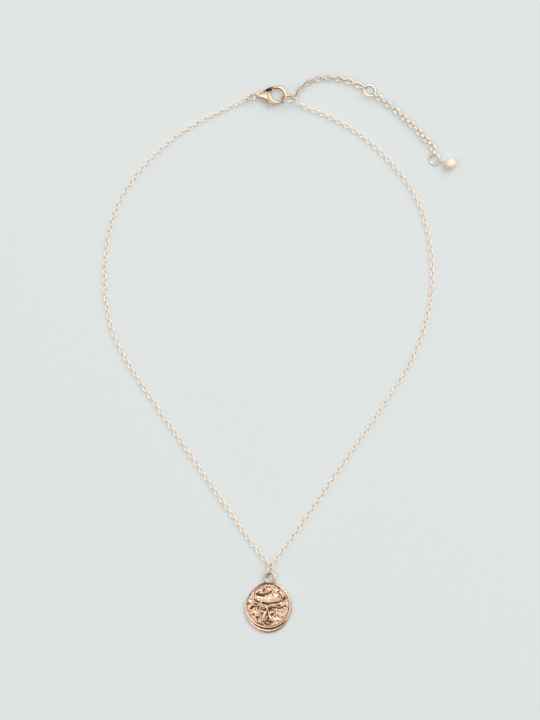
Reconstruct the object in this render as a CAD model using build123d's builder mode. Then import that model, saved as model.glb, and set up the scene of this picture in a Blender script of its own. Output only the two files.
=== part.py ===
from build123d import *
from math import asin, atan2, ceil, cos, degrees, pi, radians, sin, sqrt, tan
import os

# Main chain, in millimetres
chain_link_length = 2.15
chain_link_width = 1.55
chain_wire = 0.30

# Extender chain
extender_link_length = 2.62
extender_link_width = 1.95
extender_wire = 0.36
extender_pitch = 1.80
extender_last_roll = 28

# Gaps between loose pieces
link_gap = 0.09
tube_gap = 0.15
body_gap = 0.10

# Lobster clasp
clasp_place = (-0.87, 86.0)
hook_radius = 2.74
hook_wire = 1.02
hook_start = 150
hook_end = -49
clasp_reach = 6.30
clasp_depth = 3.0
eye_bore = 1.14
eye_wire = 0.46
lever_thickness = 1.00
lever_round = 0.25
tab_thickness = 0.60
back_slope = 35
back_edge = 0.15
pin_diameter = 0.50
pin_length = 2.20
pin_clearance = 0.05
pin_place = (-1.31, -0.45)

# Rings
clasp_ring_bore = 2.40
clasp_ring_wire = 0.55
clasp_ring_heading = 200
clasp_ring_dip = 3
clasp_ring_tilt = 50
clasp_ring_lead = 0.15
catch_ring_bore = 3.60
catch_ring_wire = 0.60
catch_ring_tilt = 57
catch_ring_drop = 1.0
catch_ring_clearance = 0.17
extender_ring_place = (29.9, 87.67)
extender_ring_bore = 3.30
extender_ring_wire = 0.65
extender_ring_heading = 146
extender_ring_tilt = 25
end_ring_place = (51.57, 64.9)
end_ring_bore = 3.0
end_ring_wire = 0.55
end_ring_heading = 35
end_ring_tilt = 18
pendant_ring_place = (-3.65, -72.25)
pendant_ring_bore = 3.30
pendant_ring_wire = 0.60
pendant_ring_heading = 77
pendant_ring_lean = 0.20

# Angles on the rings where the chains' end links hang
catch_ring_extender_angle = 25
catch_ring_chain_angle = -12
extender_ring_in_angle = 4
extender_ring_out_angle = 176
end_ring_in_angle = 52
end_ring_out_angle = -40
pendant_ring_left_angle = -30
pendant_ring_right_angle = -4

# Drop ball
ball_diameter = 3.80
ball_heading = -22
ball_rise = 8
ball_eye_bore = 0.80
ball_eye_wire = 0.34
ball_overlap = 0.10

# Pendant
pendant_place = (-3.8, -84.4)
pendant_radius = 8.53
base_thickness = 1.0
coin_radius = 7.60
coin_offset = (-0.16, 0.70)
field_height = 1.25
rim_wire = 0.60
rim_height = 1.75
groove_width = 0.45
groove_depth = 0.45
relief_height = 0.80
loop_place = (0.50, 9.93)
loop_bore = 2.50
loop_wire = 0.90
loop_height = 1.28

# Route of the left chain between its two end links, from the clasp to the pendant
left_route = [
    (-16.6, 82.2, 0.78),
    (-22.4, 79.5, 0.78),
    (-30.2, 75.6, 0.78),
    (-38.7, 69.4, 0.78),
    (-47.1, 60.9, 0.78),
    (-54.6, 49.6, 0.78),
    (-58.0, 36.3, 0.78),
    (-58.5, 21.2, 0.78),
    (-56.4, 7.6, 0.78),
    (-49.8, -4.6, 0.78),
    (-40.3, -18.4, 0.78),
    (-29.3, -34.4, 0.78),
    (-16.2, -53.3, 0.78),
    (-8.75, -64.0, 0.78),
]

# Route of the right chain between its two end links, from the pendant to the catch ring
right_route = [
    (2.2, -63.9, 0.78),
    (9.6, -53.2, 0.78),
    (21.6, -35.6, 0.78),
    (34.0, -18.0, 0.78),
    (43.8, -2.8, 0.78),
    (49.0, 10.8, 0.78),
    (51.1, 24.1, 0.78),
    (50.2, 37.4, 0.78),
    (47.0, 49.5, 0.78),
    (40.6, 59.9, 0.78),
    (32.3, 68.8, 0.78),
    (24.0, 75.2, 0.78),
    (15.4, 79.4, 0.78),
    (11.0, 81.15, 0.78),
    (7.7, 82.3, 1.0),
]

# Routes of the extender's links between the rings
extender_first_route = [
    (5.9, 87.2, 1.18),
    (8.1, 89.6, 1.12),
    (12.1, 91.5, 1.12),
    (17.3, 92.0, 1.12),
    (22.8, 91.0, 1.12),
]
extender_last_route = [
    (35.6, 83.5, 1.12),
    (39.0, 80.9, 1.12),
    (42.3, 77.9, 1.12),
    (45.7, 74.7, 1.12),
    (48.6, 71.6, 1.12),
    (50.8, 69.2, 1.12),
]

# Clasp body's sections: reach from the hook's centre as a share of clasp_reach, half height as a share
# of hook_radius, half depth as a share of clasp_depth
body_rows = [
    (1.00, 0.15, 0.17),
    (0.84, 0.42, 0.31),
    (0.67, 0.67, 0.44),
    (0.52, 0.90, 0.50),
    (0.36, 1.05, 0.40),
    (0.19, 1.13, 0.22),
]

# Cut in front of the clasp body, the slope behind the hook, the lever's slot, its outline and its tab, all as
# shares of hook_radius
body_cut = [(-1.36, 0.46), (-1.07, -0.92), (-1.05, -1.50), (1.50, -1.50), (1.50, 0.46)]
back_slope_reach = (-1.75, -0.60)
lever_slot = [(-1.68, 0.52), (-1.68, -1.60), (1.00, -1.60), (1.00, 0.52)]
lever_outline = [
    (0.401, -0.759),
    (0.330, -1.000),
    (-0.250, -1.050),
    (-0.700, -1.040),
    (-1.022, -1.000),
    (-1.299, -0.850),
    (-1.518, -0.401),
    (-1.401, 0.292),
    (-1.150, 0.401),
    (-0.912, 0.347),
]
lever_inside = (-0.62, -0.40)
lever_tab = [(-0.700, -0.950), (-0.720, -1.360), (-0.900, -1.360), (-0.980, -0.950)]

# Outline of the pendant's base: angle in degrees and share of pendant_radius
pendant_outline = [
    (0, 0.912),
    (30, 0.934),
    (60, 0.962),
    (90, 0.992),
    (118, 0.945),
    (146, 0.895),
    (180, 0.930),
    (210, 0.954),
    (240, 0.972),
    (270, 1.000),
    (300, 0.965),
    (332, 0.895),
]

# Relief of the bull's head, as shares of coin_radius from the pendant's place
face_outline = [
    (-0.39, 0.30),
    (-0.03, 0.36),
    (0.34, 0.28),
    (0.28, 0.02),
    (0.22, -0.24),
    (0.19, -0.54),
    (0.11, -0.70),
    (-0.05, -0.74),
    (-0.20, -0.69),
    (-0.28, -0.52),
    (-0.26, -0.22),
    (-0.34, 0.03),
]
horn_outline = [
    (-0.54, 0.80),
    (-0.70, 0.57),
    (-0.62, 0.34),
    (-0.36, 0.23),
    (-0.07, 0.18),
    (0.27, 0.20),
    (0.53, 0.28),
    (0.70, 0.44),
    (0.66, 0.62),
    (0.50, 0.76),
    (0.56, 0.58),
    (0.46, 0.45),
    (0.30, 0.39),
    (0.01, 0.37),
    (-0.28, 0.40),
    (-0.50, 0.48),
    (-0.56, 0.60),
]
left_ear = [(-0.33, 0.22), (-0.54, 0.24), (-0.71, 0.12), (-0.55, 0.04), (-0.34, 0.07)]
right_ear = [(0.29, 0.18), (0.50, 0.17), (0.72, 0.04), (0.54, -0.03), (0.28, 0.02)]
forelock = [
    (-0.56, 0.62),
    (-0.36, 0.70),
    (-0.10, 0.62),
    (0.17, 0.72),
    (0.05, 0.55),
    (-0.22, 0.50),
    (-0.44, 0.55),
]
nose = [
    (-0.22, 0.20),
    (0.17, 0.20),
    (0.08, -0.20),
    (0.10, -0.50),
    (-0.04, -0.60),
    (-0.18, -0.50),
    (-0.14, -0.20),
]
relief_layers = [
    (face_outline, 0.75),
    (horn_outline, 0.80),
    (left_ear, 0.55),
    (right_ear, 0.55),
    (forelock, 0.60),
    (nose, 1.0),
]
eye_places = [(-0.22, -0.08), (0.15, -0.05)]
eye_radius_share = 0.085
nostril_places = [(-0.14, -0.60), (0.05, -0.59)]
nostril_radius_share = 0.045


def heading(angle, dip=0):
    """Unit vector at an angle in plan that dips below the horizontal."""
    flat = cos(radians(dip))
    return Vector(flat * cos(radians(angle)), flat * sin(radians(angle)), -sin(radians(dip)))


def scaled(points, size):
    """Points given as shares of a size."""
    return [(x * size, y * size) for x, y in points]


def corner_radii(points):
    """Arc radius at each inner point of a route: 0.45 of the shorter run over half the turn's tangent."""
    corners = [Vector(*p) for p in points]
    radii = []
    for before, here, after in zip(corners, corners[1:], corners[2:]):
        first = here - before
        second = after - here
        half_turn = radians(first.get_angle(second)) / 2
        radii.append(0.45 * min(first.length, second.length) / tan(half_turn))
    return radii


def ring_point(plane, radius, angle):
    """Point on a ring's centre line, at an angle from its plane's x axis."""
    a = radians(angle)
    return plane.origin + plane.x_dir * (radius * cos(a)) + plane.y_dir * (radius * sin(a))


def ring_tangent(plane, angle):
    """Direction of a ring's wire at an angle from its plane's x axis."""
    a = radians(angle)
    return plane.y_dir * cos(a) - plane.x_dir * sin(a)


def hooked_frame(point, tangent, along, length, wire, ring_wire):
    """Frame of a link that hooks on a ring's wire at a point and runs along a direction."""
    reach = length / 2 - wire - ring_wire / 2 - link_gap
    return Plane(origin=point + along * reach, x_dir=along, z_dir=along.cross(tangent).cross(along))


def turned_back(frame):
    """The same link's frame with its x axis reversed."""
    return Plane(origin=frame.origin, x_dir=frame.x_dir * -1, z_dir=frame.z_dir)


def rolled_frame(centre, along, roll):
    """Frame of a link along a direction, rolled about it from lying flat."""
    side = Vector(0, 0, 1).cross(along).normalized()
    top = along.cross(side)
    a = radians(roll)
    return Plane(origin=centre, x_dir=along, z_dir=top * cos(a) - side * sin(a))


def rolled(frame, angle):
    """The same link's frame rolled about its own x axis."""
    a = radians(angle)
    return Plane(origin=frame.origin, x_dir=frame.x_dir, z_dir=frame.z_dir * cos(a) - frame.y_dir * sin(a))


def roll_of(frame):
    """Roll of a link's frame about its own x axis, from lying flat."""
    side = Vector(0, 0, 1).cross(frame.x_dir).normalized()
    top = frame.x_dir.cross(side)
    return degrees(atan2(frame.y_dir.dot(top), frame.y_dir.dot(side)))


def export(part, name):
    """Labels a piece and writes its STEP file."""
    part.label = name
    export_step(part, f"parts/{name}.step")


def export_link(frame, length, width, wire, name):
    """One oval link of round wire in a frame's XY plane, its long side along x."""
    bend = (width - wire) / 2
    run = length - width
    with BuildPart() as link:
        with BuildLine(frame):
            Line((-run / 2, bend), (run / 2, bend))
            CenterArc((run / 2, 0), bend, 90, -180)
            Line((run / 2, -bend), (-run / 2, -bend))
            CenterArc((-run / 2, 0), bend, 270, -180)
        with BuildSketch(Plane(origin=frame.from_local_coords((-run / 2, bend, 0)), z_dir=frame.x_dir)):
            Circle(wire / 2)
        sweep()
    export(link.part, name)


def export_ring(plane, bore, wire, name):
    """One closed ring of round wire."""
    with BuildPart(plane) as ring:
        Torus((bore + wire) / 2, wire / 2)
    export(ring.part, name)


def export_tube(points, name):
    """One chain's round outline, swept along straight runs joined by tangent arcs."""
    radii = corner_radii(points)
    section = pi * chain_link_width**2 / 4
    with BuildPart() as tube:
        with BuildLine() as path:
            FilletPolyline(*points, radius=radii)
        line = path.wires()[0]
        with BuildSketch(Plane(origin=line @ 0, z_dir=line % 0)):
            Circle(chain_link_width / 2)
        sweep()
    export(tube.part, name)
    print(name, "length", round(line.length, 1), "radii", [round(r, 1) for r in radii])
    print(name, "volume over section times length", round(tube.part.volume / (section * line.length), 4))
    print(name, "route", [tuple(round(c, 2) for c in Vector(*p)) for p in points])


def export_run(first, points, last, number):
    """Extender links between two hooked ones, each a quarter turn on from the last; gives the next number."""
    with BuildLine() as path:
        Spline(first.origin, *points, last.origin, tangents=[first.x_dir, last.x_dir])
    line = path.wires()[0]
    count = ceil(line.length / extender_pitch)
    drift = ((roll_of(last) - roll_of(first) - 90 * count + 90) % 180 - 90) / count
    for i in range(count + 1):
        centre = line.position_at(i / count)
        along = line.tangent_at(i / count)
        frame = rolled_frame(centre, along, roll_of(first) + i * (90 + drift))
        name = f"extender_link_{number + i:02d}"
        export_link(frame, extender_link_length, extender_link_width, extender_wire, name)
    print("extender run", round(line.length, 1), "links", count + 1, "drift", round(drift, 1))
    return number + count + 1


os.makedirs("parts", exist_ok=True)

# Clasp body: a lofted teardrop shell, open in front and slotted for the lever, with its hook and eye
clasp_centre = Vector(*clasp_place, clasp_depth / 2)
clasp_plane = Plane(origin=clasp_centre)
below_clasp = clasp_plane.offset(-clasp_depth)
back_plane = Plane(
    origin=clasp_centre + Vector(back_slope_reach[0] * hook_radius, 0, 0),
    x_dir=(0, 1, 0),
    z_dir=(1, 0, 0),
)
eye_radius = (eye_bore + eye_wire) / 2
eye_centre = clasp_centre - Vector(clasp_reach + eye_radius, 0, 0)
hook_tip = heading(hook_end)
pin_point = (pin_place[0] * hook_radius, pin_place[1] * hook_radius)
with BuildPart() as clasp_body:
    for reach, half_height, half_depth in body_rows:
        origin = clasp_centre - Vector(reach * clasp_reach, 0, 0)
        with BuildSketch(Plane(origin=origin, x_dir=(0, 1, 0), z_dir=(1, 0, 0))):
            Ellipse(half_height * hook_radius, half_depth * clasp_depth)
    loft()
    with BuildSketch(below_clasp):
        Circle(hook_radius - hook_wire / 2)
        with BuildLine():
            Polyline(*scaled(body_cut, hook_radius), close=True)
        make_face()
    extrude(amount=2 * clasp_depth, mode=Mode.SUBTRACT)
    slope_start = body_cut[0][1] * hook_radius
    slope_rise = (clasp_depth - back_edge) / tan(radians(90 - back_slope))
    with BuildSketch(back_plane):
        for side in (1, -1):
            with BuildLine():
                Polyline(
                    (slope_start, side * back_edge),
                    (slope_start + clasp_depth - back_edge, side * (back_edge + slope_rise)),
                    (slope_start, side * (back_edge + slope_rise)),
                    close=True,
                )
            make_face()
    extrude(amount=(back_slope_reach[1] - back_slope_reach[0]) * hook_radius, mode=Mode.SUBTRACT)
    with BuildSketch(clasp_plane.offset(-lever_thickness / 2 - body_gap)):
        with BuildLine():
            Polyline(*scaled(lever_slot, hook_radius), close=True)
        make_face()
    extrude(amount=lever_thickness + 2 * body_gap, mode=Mode.SUBTRACT)
    with BuildSketch(below_clasp):
        with Locations(pin_point):
            Circle(pin_diameter / 2)
    extrude(amount=2 * clasp_depth, mode=Mode.SUBTRACT)
    with BuildSketch(Plane(origin=clasp_centre, x_dir=hook_tip, z_dir=Vector(0, 0, 1).cross(hook_tip))):
        with Locations((hook_radius, 0)):
            Circle(hook_wire / 2)
    revolve(axis=Axis(clasp_centre, (0, 0, 1)), revolution_arc=hook_start - hook_end)
    with Locations(clasp_centre + hook_tip * hook_radius):
        Sphere(hook_wire / 2)
    with Locations(eye_centre):
        Torus(eye_radius, eye_wire / 2)
export(clasp_body.part, "clasp_body")

# Clasp lever with its thumb tab, and the pin that it turns on
with BuildPart() as clasp_lever:
    with BuildSketch(clasp_plane.offset(-lever_thickness / 2)):
        with BuildLine():
            outline = scaled(lever_outline, hook_radius)
            Polyline(*outline)
            ThreePointArc(outline[-1], scaled([lever_inside], hook_radius)[0], outline[0])
        make_face()
    extrude(amount=lever_thickness)
    fillet(clasp_lever.faces().filter_by(Axis.Z).edges(), lever_round)
    with BuildSketch(clasp_plane.offset(-tab_thickness / 2)):
        with BuildLine():
            Polyline(*scaled(lever_tab, hook_radius), close=True)
        make_face()
    extrude(amount=tab_thickness)
    with BuildSketch(clasp_plane.offset(-lever_thickness / 2)):
        with Locations(pin_point):
            Circle(pin_diameter / 2 + pin_clearance)
    extrude(amount=lever_thickness, mode=Mode.SUBTRACT)
export(clasp_lever.part, "clasp_lever")
with BuildPart() as clasp_pin:
    with BuildSketch(clasp_plane.offset(-pin_length / 2)):
        with Locations(pin_point):
            Circle(pin_diameter / 2)
    extrude(amount=pin_length)
export(clasp_pin.part, "clasp_pin")

# Ring between the clasp's eye and the left chain
clasp_ring_radius = (clasp_ring_bore + clasp_ring_wire) / 2
away = heading(clasp_ring_heading, clasp_ring_dip)
level = Vector(0, 0, 1).cross(away).normalized()
clasp_ring_side = level * cos(radians(clasp_ring_tilt)) + away.cross(level) * sin(radians(clasp_ring_tilt))
clasp_ring_plane = Plane(
    origin=eye_centre + away * (clasp_ring_lead + clasp_ring_radius),
    x_dir=away,
    z_dir=away.cross(clasp_ring_side),
)
export_ring(clasp_ring_plane, clasp_ring_bore, clasp_ring_wire, "clasp_ring")

# Ring that the clasp's hook holds: it leans against the hook and rests on the floor
catch_ring_radius = (catch_ring_bore + catch_ring_wire) / 2
catch_ring_height = catch_ring_wire / 2 + catch_ring_radius * sin(radians(catch_ring_tilt))
hook_offset = (clasp_depth / 2 - catch_ring_height) / sin(radians(catch_ring_tilt))
hook_reach = catch_ring_bore / 2 - hook_wire / 2 - catch_ring_clearance
catch_ring_plane = Plane(
    origin=(
        clasp_place[0] + hook_radius + sqrt(hook_reach**2 - hook_offset**2),
        clasp_place[1] - catch_ring_drop,
        catch_ring_height,
    ),
    x_dir=(1, 0, 0),
    z_dir=(0, sin(radians(catch_ring_tilt)), cos(radians(catch_ring_tilt))),
)
export_ring(catch_ring_plane, catch_ring_bore, catch_ring_wire, "catch_ring")

# Ring halfway along the extender, tilted about the line through its two links
extender_ring_radius = (extender_ring_bore + extender_ring_wire) / 2
extender_ring_rise = extender_ring_radius * sin(radians(extender_ring_tilt))
extender_ring_axis = heading(extender_ring_heading)
extender_ring_plane = Plane(
    origin=(*extender_ring_place, extender_ring_wire / 2 + extender_ring_rise),
    x_dir=extender_ring_axis,
    z_dir=extender_ring_axis.cross(heading(extender_ring_heading - 90, extender_ring_tilt)) * -1,
)
export_ring(extender_ring_plane, extender_ring_bore, extender_ring_wire, "extender_ring")

# Ring at the extender's end
end_ring_radius = (end_ring_bore + end_ring_wire) / 2
end_ring_axis = heading(end_ring_heading, -end_ring_tilt)
end_ring_plane = Plane(
    origin=(*end_ring_place, end_ring_wire / 2 + end_ring_radius * sin(radians(end_ring_tilt))),
    x_dir=end_ring_axis,
    z_dir=end_ring_axis.cross(heading(end_ring_heading + 90)),
)
export_ring(end_ring_plane, end_ring_bore, end_ring_wire, "end_ring")

# Ring that stands in the pendant's loop
pendant_ring_radius = (pendant_ring_bore + pendant_ring_wire) / 2
pendant_ring_rise = sqrt(1 - pendant_ring_lean**2)
pendant_ring_up = Vector(0, 0, pendant_ring_rise) - heading(pendant_ring_heading - 90) * pendant_ring_lean
pendant_ring_plane = Plane(
    origin=(*pendant_ring_place, pendant_ring_wire / 2 + pendant_ring_radius * pendant_ring_rise),
    x_dir=heading(pendant_ring_heading),
    z_dir=heading(pendant_ring_heading).cross(pendant_ring_up),
)
export_ring(pendant_ring_plane, pendant_ring_bore, pendant_ring_wire, "pendant_ring")


def chain_end(plane, bore, wire, angle, toward, name):
    """Hooks a main chain link on a ring, towards a route point; gives where the chain's tube starts."""
    point = ring_point(plane, (bore + wire) / 2, angle)
    along = (Vector(*toward) - point).normalized()
    frame = hooked_frame(point, ring_tangent(plane, angle), along, chain_link_length, chain_wire, wire)
    export_link(frame, chain_link_length, chain_link_width, chain_wire, name)
    print(name, "roll", round(roll_of(frame), 1))
    return frame.origin + along * (chain_link_length / 2 + tube_gap)


# Main chain's four end links and its two halves
left_start = chain_end(
    clasp_ring_plane,
    clasp_ring_bore,
    clasp_ring_wire,
    0,
    left_route[0],
    "chain_link_clasp",
)
left_end = chain_end(
    pendant_ring_plane,
    pendant_ring_bore,
    pendant_ring_wire,
    pendant_ring_left_angle,
    left_route[-1],
    "chain_link_pendant_left",
)
right_start = chain_end(
    pendant_ring_plane,
    pendant_ring_bore,
    pendant_ring_wire,
    pendant_ring_right_angle,
    right_route[0],
    "chain_link_pendant_right",
)
right_end = chain_end(
    catch_ring_plane,
    catch_ring_bore,
    catch_ring_wire,
    catch_ring_chain_angle,
    right_route[-1],
    "chain_link_catch",
)
export_tube([left_start, *left_route, left_end], "chain_left")
export_tube([right_start, *right_route, right_end], "chain_right")


def extender_end(plane, bore, wire, angle, toward):
    """Frame of an extender link that hooks on a ring, towards a route point."""
    point = ring_point(plane, (bore + wire) / 2, angle)
    along = (Vector(*toward) - point).normalized()
    return hooked_frame(point, ring_tangent(plane, angle), along, extender_link_length, extender_wire, wire)


# Extender's two runs of links
first_in = extender_end(
    catch_ring_plane,
    catch_ring_bore,
    catch_ring_wire,
    catch_ring_extender_angle,
    extender_first_route[0],
)
first_out = extender_end(
    extender_ring_plane,
    extender_ring_bore,
    extender_ring_wire,
    extender_ring_in_angle,
    extender_first_route[-1],
)
last_in = extender_end(
    extender_ring_plane,
    extender_ring_bore,
    extender_ring_wire,
    extender_ring_out_angle,
    extender_last_route[0],
)
last_out = extender_end(
    end_ring_plane,
    end_ring_bore,
    end_ring_wire,
    end_ring_in_angle,
    extender_last_route[-1],
)
next_number = export_run(first_in, extender_first_route, turned_back(first_out), 1)
export_run(rolled(last_in, extender_last_roll), extender_last_route, turned_back(last_out), next_number)

# Small link and ball at the extender's end: the ball rests on the floor
drop_point = ring_point(end_ring_plane, end_ring_radius, end_ring_out_angle)
drop_along = heading(ball_heading, -ball_rise)
drop_frame = hooked_frame(
    drop_point,
    ring_tangent(end_ring_plane, end_ring_out_angle),
    drop_along,
    chain_link_length,
    chain_wire,
    end_ring_wire,
)
export_link(drop_frame, chain_link_length, chain_link_width, chain_wire, "drop_link")
ball_eye_radius = (ball_eye_bore + ball_eye_wire) / 2
eye_reach = chain_link_length / 2 - chain_wire - ball_eye_wire / 2 - link_gap
ball_eye_point = drop_frame.origin + drop_along * eye_reach
ball_reach = 2 * ball_eye_radius + ball_diameter / 2 - ball_overlap
ball_slope = degrees(asin((ball_diameter / 2 - ball_eye_point.Z) / ball_reach))
ball_along = heading(ball_heading, -ball_slope)
with BuildPart() as drop_ball:
    with Locations(ball_eye_point + ball_along * ball_reach):
        Sphere(ball_diameter / 2)
    eye_plane = Plane(
        origin=ball_eye_point + ball_along * ball_eye_radius,
        x_dir=ball_along,
        z_dir=ball_along.cross(drop_frame.z_dir),
    )
    with Locations(eye_plane.location):
        Torus(ball_eye_radius, ball_eye_wire / 2)
export(drop_ball.part, "drop_ball")


# Pendant: uneven base, coin with its rim, head in relief and soldered loop
pendant_plane = Plane(origin=(*pendant_place, 0))
coin_plane = pendant_plane.shift_origin(pendant_plane.from_local_coords((*coin_offset, 0)))
with BuildPart() as pendant:
    with BuildSketch(pendant_plane):
        with BuildLine():
            outline = [(share * cos(radians(a)), share * sin(radians(a))) for a, share in pendant_outline]
            Spline(*scaled(outline, pendant_radius), periodic=True)
        make_face()
    extrude(amount=base_thickness)
    with BuildSketch(coin_plane.offset(base_thickness - groove_depth)):
        Circle(coin_radius + groove_width)
    extrude(amount=groove_depth, mode=Mode.SUBTRACT)
    with BuildSketch(coin_plane):
        Circle(coin_radius)
    extrude(amount=field_height)
    with Locations(coin_plane.offset(rim_height - rim_wire / 2).location):
        Torus(coin_radius - rim_wire / 2, rim_wire / 2)
    for points, share in relief_layers:
        with BuildSketch(pendant_plane.offset(field_height)):
            with BuildLine():
                Spline(*scaled(points, coin_radius), periodic=True)
            make_face()
        extrude(amount=share * relief_height)
    with BuildSketch(pendant_plane.offset(field_height + relief_height)):
        with Locations(*scaled(eye_places, coin_radius)):
            Circle(eye_radius_share * coin_radius)
        with Locations(*scaled(nostril_places, coin_radius)):
            Circle(nostril_radius_share * coin_radius)
    extrude(amount=-relief_height / 2, mode=Mode.SUBTRACT)
    with Locations(pendant_plane.offset(loop_height).location * Location((*loop_place, 0))):
        Torus((loop_bore + loop_wire) / 2, loop_wire / 2)
export(pendant.part, "pendant")
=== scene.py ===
"""Visual model of the zodiac necklace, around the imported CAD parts."""

from math import cos, pi, radians, sin

import bpy
import numpy as np
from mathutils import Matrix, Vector


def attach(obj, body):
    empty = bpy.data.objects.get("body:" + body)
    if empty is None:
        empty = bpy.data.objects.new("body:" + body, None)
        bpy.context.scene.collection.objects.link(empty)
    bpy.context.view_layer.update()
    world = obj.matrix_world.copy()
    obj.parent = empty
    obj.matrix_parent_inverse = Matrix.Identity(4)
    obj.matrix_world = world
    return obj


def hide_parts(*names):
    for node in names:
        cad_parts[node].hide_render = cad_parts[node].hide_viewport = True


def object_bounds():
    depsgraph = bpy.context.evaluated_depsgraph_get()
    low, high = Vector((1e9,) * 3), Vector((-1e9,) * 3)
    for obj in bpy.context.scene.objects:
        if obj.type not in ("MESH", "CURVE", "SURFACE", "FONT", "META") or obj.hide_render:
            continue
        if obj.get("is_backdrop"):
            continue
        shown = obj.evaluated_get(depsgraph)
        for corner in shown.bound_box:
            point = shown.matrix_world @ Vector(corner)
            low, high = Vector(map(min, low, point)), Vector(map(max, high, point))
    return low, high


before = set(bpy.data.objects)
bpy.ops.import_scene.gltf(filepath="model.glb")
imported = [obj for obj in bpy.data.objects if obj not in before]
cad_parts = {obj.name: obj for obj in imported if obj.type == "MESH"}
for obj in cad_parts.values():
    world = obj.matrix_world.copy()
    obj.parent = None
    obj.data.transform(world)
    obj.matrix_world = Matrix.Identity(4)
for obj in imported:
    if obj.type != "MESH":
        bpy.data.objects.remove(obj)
cad_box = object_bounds()

MM = 0.001
BODY = "necklace"

# Camera: straight above, with 180 mm by 240 mm of floor in the picture. Its height is in metres.
FRAME_CENTRE = (-3.3 * MM, -2.0 * MM)
FRAME_HEIGHT = 240 * MM
CAMERA_HEIGHT = 1.2
SENSOR_HEIGHT = 24.0

# Links of the main chain, how far apart they are, and the gap between the CAD's tubes and its end links
LINK_LENGTH = 2.15 * MM
LINK_WIDTH = 1.55 * MM
LINK_WIRE = 0.32 * MM
LINK_PITCH = 1.50 * MM
TUBE_GAP = 0.15 * MM
# Steps along a link's wire, an even number, and round it
LINK_STEPS = 14
LINK_SIDES = 10

# Points of the two chains' routes in millimetres, as in the CAD source, each from one end link to another
LEFT_ROUTE = [
    (-12.35, 84.24, 1.19),
    (-16.6, 82.2, 0.78),
    (-22.4, 79.5, 0.78),
    (-30.2, 75.6, 0.78),
    (-38.7, 69.4, 0.78),
    (-47.1, 60.9, 0.78),
    (-54.6, 49.6, 0.78),
    (-58.0, 36.3, 0.78),
    (-58.5, 21.2, 0.78),
    (-56.4, 7.6, 0.78),
    (-49.8, -4.6, 0.78),
    (-40.3, -18.4, 0.78),
    (-29.3, -34.4, 0.78),
    (-16.2, -53.3, 0.78),
    (-8.75, -64.0, 0.78),
    (-4.12, -69.43, 1.17),
]
RIGHT_ROUTE = [
    (-2.17, -69.14, 1.83),
    (2.2, -63.9, 0.78),
    (9.6, -53.2, 0.78),
    (21.6, -35.6, 0.78),
    (34.0, -18.0, 0.78),
    (43.8, -2.8, 0.78),
    (49.0, 10.8, 0.78),
    (51.1, 24.1, 0.78),
    (50.2, 37.4, 0.78),
    (47.0, 49.5, 0.78),
    (40.6, 59.9, 0.78),
    (32.3, 68.8, 0.78),
    (24.0, 75.2, 0.78),
    (15.4, 79.4, 0.78),
    (11.0, 81.15, 0.78),
    (7.7, 82.3, 1.0),
    (5.97, 83.78, 1.86),
]
# Slow twist of each resting chain beyond its quarter turns: share of the way and degrees from lying flat.
# It starts and ends with the rolls of the CAD's end links.
CHAINS = {
    "chain_left": (
        LEFT_ROUTE,
        [
            (0.0, -39.5),
            (0.05, -6),
            (0.20, 3),
            (0.28, 42),
            (0.95, 47),
            (1.0, 71.1),
        ],
    ),
    "chain_right": (
        RIGHT_ROUTE,
        [
            (0.0, -12.3),
            (0.05, -38),
            (0.20, -42),
            (0.28, -6),
            (0.36, -2),
            (0.46, -42),
            (0.97, -46),
            (1.0, -32.9),
        ],
    ),
}

# Unevenness of the twist: degrees, and how fast it changes from link to link
TWIST_JITTER = 6
JITTER_PACE = 2.4
# Steps of a route's smooth curve between two of its points
ROUTE_STEPS = 32
# Links of the extender between the catch ring and the halfway ring
FIRST_RUN_LINKS = 16

# Pendant's main sizes, in millimetres about its own place
PENDANT_PLACE = (-3.8, -84.4)
PENDANT_RADIUS = 8.53
COIN_CENTRE = (-0.16, 0.70)
COIN_RADIUS = 7.60
BASE_HEIGHT = 1.0
FIELD_HEIGHT = 1.25
RIM_HEIGHT = 1.75
RIM_WIDTH = 0.60
LIP_HEIGHT = 1.82
LOOP_CENTRE = (0.50, 9.93, 1.28)
LOOP_RADIUS = 1.64
LOOP_WIRE = 0.39

# Stretches of the coin's edge and of the loop: direction of the middle and half width, in degrees
LIP = (92, 24)
LOW_RIM = (132, 30)
GROOVE = (-82, 42)
CONTOUR = (-48, 50)
PLAIN_EDGE = (190, 62)
LOOP_TOP = (105, 50)

# Distances inwards from the coin's edge: middle and half width of the rim, of the painted shade at its foot
# and of the painted dark line in the low rim
RIM_BAND = (RIM_WIDTH * 0.50, RIM_WIDTH * 0.42)
RIM_FOOT = (RIM_WIDTH * 1.15, 0.14)
LOW_RIM_PAINTED_LINE = (0.30, 0.12)
# Distances inwards from the coin's edge: where each change starts and ends
RELIEF_START = (RIM_WIDTH * 0.55 + 0.25, RIM_WIDTH * 0.55 + 0.95)
RELIEF_SHADE_START = (0.20, 0.70)
EDGE_ROUND = (0.12, 0.00)
LIP_RISE = (0.50, 0.28)
LIP_DARK = (0.40, 0.20)

# How far the rounded edge drops, the lip reaches out, and the base shows outside the coin at least
EDGE_DROP = 0.30
LIP_REACH = 0.12
LEAST_MARGIN = 0.04
# Share of the rim that is worn away on the upper left
RIM_WEAR = 0.6
# Waves of the rim's height: how many there are round the coin, phase and height
RIM_WAVES = [
    (3, 0.6, 0.05),
    (7, 0.0, 0.04),
]

# Painted shade of the parts, from 0 for a painted highlight to 1 for the darkest painted shade
BAND_SHADE = 0.26
CONTOUR_SHADE = 0.60
FIELD_SHADE = 0.34
FOOT_SHADE = 0.30
LOW_RIM_LINE_SHADE = 0.65
LIP_SHADE = 0.95
LIP_FRONT_SHADE = 0.65
GROOVE_SHADE = 0.95
LOOP_SHADE = 0.10
LOOP_INNER_SHADE = 0.75

# Steps round the pendant, rings on the coin's face and the first ring's share of the coin's radius
PENDANT_TURNS = 384
FACE_RINGS = 96
FIRST_RING = 0.004
# Steps in the search for the base's edge
REACH_STEPS = 4000
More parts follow.
